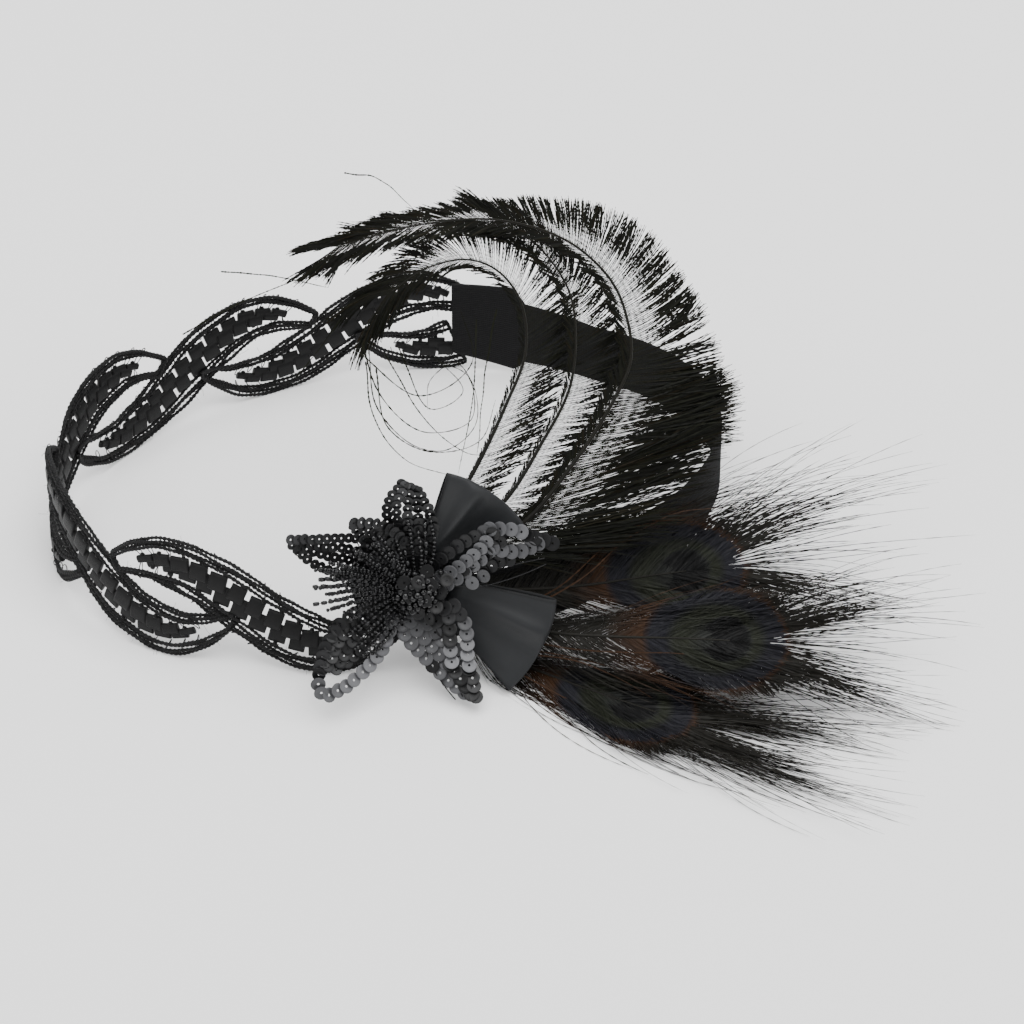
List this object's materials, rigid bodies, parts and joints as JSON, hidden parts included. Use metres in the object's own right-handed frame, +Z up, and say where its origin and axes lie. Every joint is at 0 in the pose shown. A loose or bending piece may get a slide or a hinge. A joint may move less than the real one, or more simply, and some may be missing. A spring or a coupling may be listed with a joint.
{
  "type": "flapper feather headband",
  "caption": "Black headband of scrolled gimp trim and elastic, with a sequin and bead flower, satin ribbon leaves, peacock eye feathers and curled sword feathers.",
  "frame": {"origin": "centre of the bounding box's base, where the band's lower edge stands on the surface", "axes": "+X to the wearer's side that the feathers sweep to, the loop's long way; +Z up through the head opening"},
  "size_m": [0.2838, 0.2114, 0.1314],
  "materials": {
    "gimp_cord": "satin",
    "elastic_web": "matte",
    "felt": "matte",
    "sequins": "gloss",
    "beads": "gloss",
    "satin_ribbon": "satin",
    "eye_plume": "satin",
    "sword_plume": "satin"
  },
  "bodies": {
    "root": {"trim_leaf_1": "gimp_cord", "trim_leaf_2": "gimp_cord", "trim_leaf_3": "gimp_cord", "trim_leaf_4": "gimp_cord", "trim_leaf_5": "gimp_cord", "trim_leaf_6": "gimp_cord", "elastic": "elastic_web", "felt_pad": "felt", "flower_back": "felt", "petal_up": "sequins", "petal_upper_left": "sequins", "petal_left": "sequins", "petal_lower_left": "sequins", "sequin_string": "sequins", "petal_low": "sequins", "petal_right": "sequins", "bead_fringe": "beads", "bead_centre": "beads", "ribbon_leaf_upper": "satin_ribbon", "ribbon_leaf_lower": "satin_ribbon", "eye_feather_upper": "eye_plume", "eye_feather_middle": "eye_plume", "eye_feather_lower": "eye_plume", "sword_feather_inner": "sword_plume", "sword_feather_middle": "sword_plume", "sword_feather_outer": "sword_plume"}
  },
  "joints": []
}
